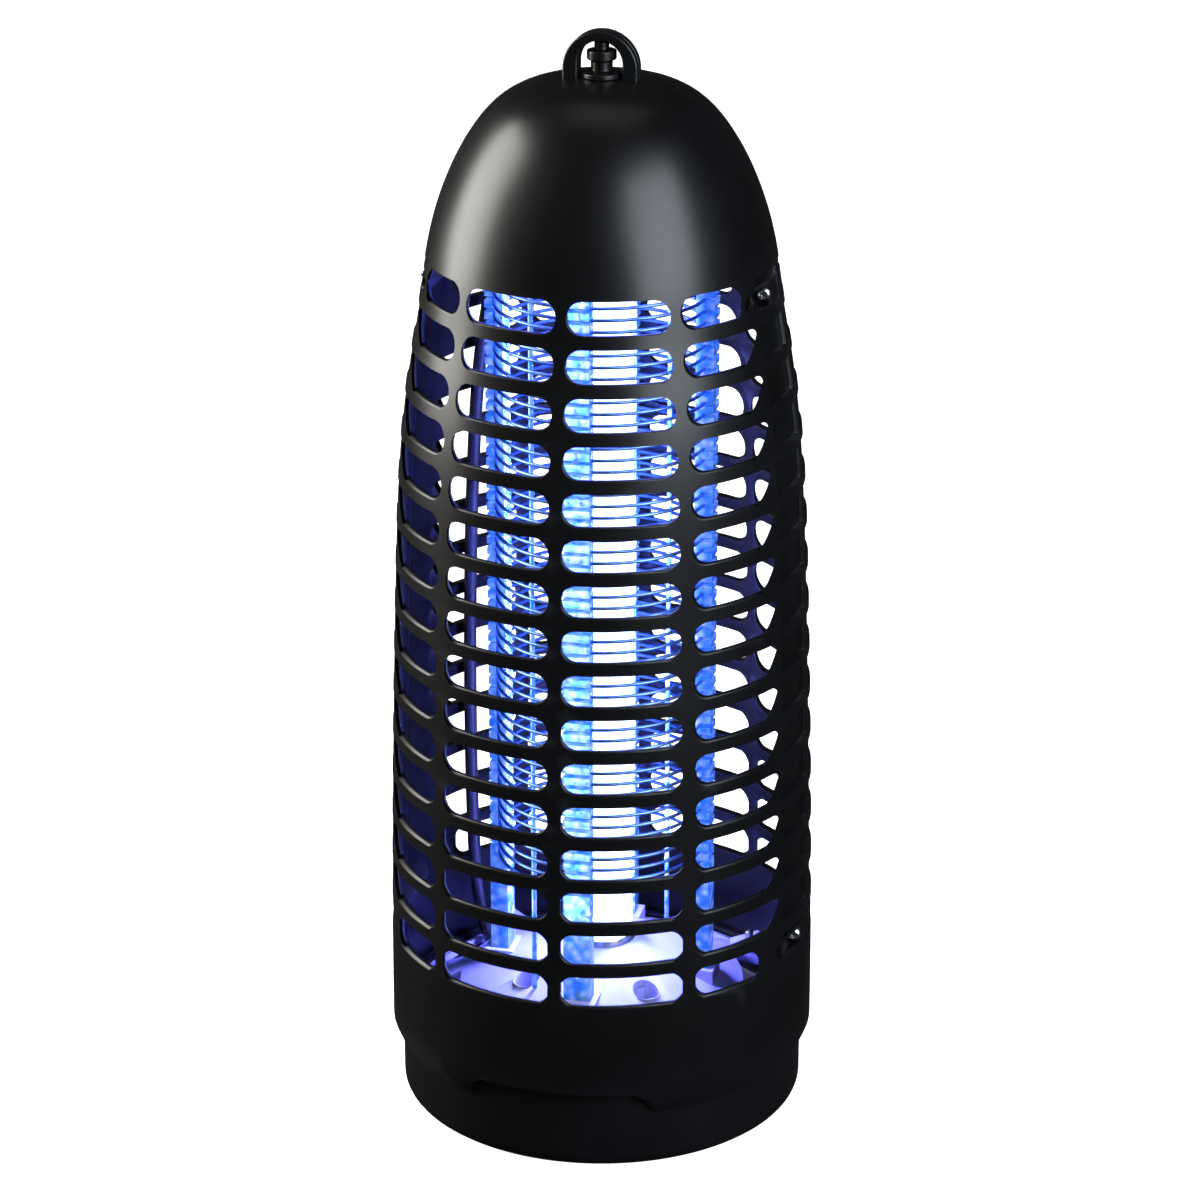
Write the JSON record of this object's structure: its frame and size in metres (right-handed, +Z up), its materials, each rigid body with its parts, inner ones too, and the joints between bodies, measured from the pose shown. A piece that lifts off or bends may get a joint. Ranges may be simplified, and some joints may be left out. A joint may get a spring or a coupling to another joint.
{
  "type": "electric bug zapper",
  "caption": "Lantern-shaped electric insect killer: two slotted black half shells round a UV tube, a ring-wire grid, a hanging loop and a pull-off catch tray.",
  "frame": {"origin": "centre of the tray's flat underside, on the axis of the tube", "axes": "+Z up along the tube, front half shell faces -Y, the two half shells meet on the plane y = 0, +X to the right seen from the front"},
  "size_m": [0.1092, 0.1092, 0.2795],
  "materials": {
    "black_plastic": "satin black moulded plastic",
    "white_plastic": "white moulded plastic",
    "clear_plastic": "clear moulded plastic",
    "lit_lamp": "lit phosphor-coated glass tube",
    "lamp_cap": "pressed aluminium",
    "brass_pin": "plain",
    "grid_wire": "drawn plated wire",
    "screw_steel": "zinc plated",
    "black_rubber": "soft black",
    "black_cable": "glossy black sheath",
    "board": "green solder mask",
    "capacitor_film": "dipped brown-red",
    "capacitor_can": "sleeved can",
    "choke_core": "ferrite with wound coil",
    "diode_body": "moulded epoxy",
    "resistor_body": "lacquered",
    "fuse_glass": "glass tube",
    "terminal_green": "moulded"
  },
  "bodies": {
    "housing": {"front_shell": "black_plastic", "rear_shell": "black_plastic", "shell_screws": "screw_steel", "hanging_stud": "black_plastic", "cord_inlet_grommet": "black_rubber", "lower_deck": "white_plastic", "deck_screws": "screw_steel", "lower_lampholder": "white_plastic", "lampholder_screws": "screw_steel", "lamp_tube": "lit_lamp", "lamp_cap_lower": "lamp_cap", "lamp_cap_upper": "lamp_cap", "lamp_pins": "brass_pin", "upper_lampholder": "white_plastic", "upper_holder_screws": "screw_steel", "grid_post_front": "clear_plastic", "grid_post_right": "clear_plastic", "grid_post_rear": "clear_plastic", "grid_post_left": "clear_plastic", "grid_rings_live": "grid_wire", "grid_rings_neutral": "grid_wire", "grid_spacer_rods": "clear_plastic", "post_screws": "screw_steel", "upper_deck": "white_plastic", "circuit_board": "board", "board_standoffs": "white_plastic", "board_screws": "screw_steel", "film_capacitors": "capacitor_film", "ballast_choke": "choke_core", "smoothing_capacitor": "capacitor_can", "diodes": "diode_body", "bleed_resistors": "resistor_body", "fuse": "fuse_glass", "terminal_block": "terminal_green", "lower_lamp_lead": "black_cable"},
    "tray": {"collection_tray": "black_plastic", "tray_liner": "white_plastic"}
  },
  "joints": [
    {"name": "tray_pull", "type": "slide", "parent": "housing", "child": "tray", "axis": [0, 0, -1], "range_m": [0, 0.04]}
  ]
}
